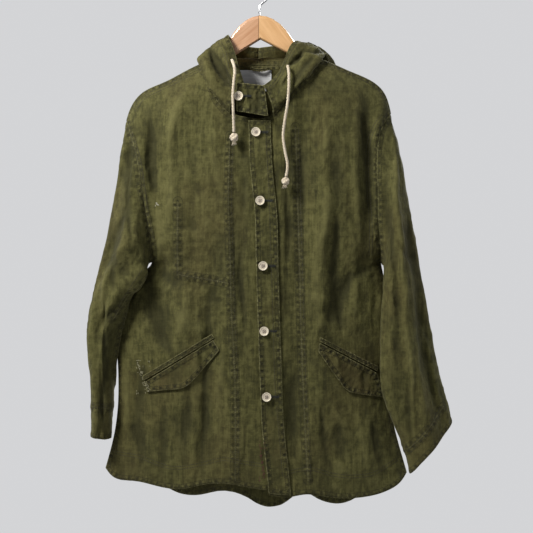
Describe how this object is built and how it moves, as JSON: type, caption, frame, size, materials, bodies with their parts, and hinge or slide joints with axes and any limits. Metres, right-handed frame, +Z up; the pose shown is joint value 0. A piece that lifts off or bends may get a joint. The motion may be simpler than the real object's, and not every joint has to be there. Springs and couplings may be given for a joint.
{
  "type": "hooded linen jacket on a wooden hanger",
  "caption": "Hooded button-front cloth jacket with flap pockets and a drawstring, hanging flat and empty on a shaped wooden hanger with a wire hook.",
  "frame": {"origin": "where the hanger's hook rests on a rail, inside the crown of the hook", "axes": "+Z up, the front of the jacket faces -Y, the wearer's left side is +X"},
  "size_m": [0.6632, 0.1661, 0.9727],
  "materials": {
    "linen": "washed woven linen, matte and creased, olive with browner seams",
    "wood": "clear satin varnish",
    "steel": "polished",
    "button": "polished horn look with a darker middle",
    "cord": "twisted undyed cotton",
    "label": "plain white woven tape"
  },
  "bodies": {
    "root": {"front_right": "linen", "front_left": "linen", "back": "linen", "sleeve_right": "linen", "sleeve_left": "linen", "hood_right": "linen", "hood_left": "linen", "placket": "linen", "pocket_welt_right": "linen", "pocket_welt_left": "linen", "pocket_flap_right": "linen", "pocket_flap_left": "linen", "throat_tab": "linen", "hanging_loop": "linen", "label": "label", "button_1": "button", "button_2": "button", "button_3": "button", "button_4": "button", "button_5": "button", "button_collar": "button", "cord_right": "cord", "cord_left": "cord", "knot_right": "cord", "knot_left": "cord", "hanger_wood": "wood", "hanger_hook": "steel"}
  },
  "joints": []
}
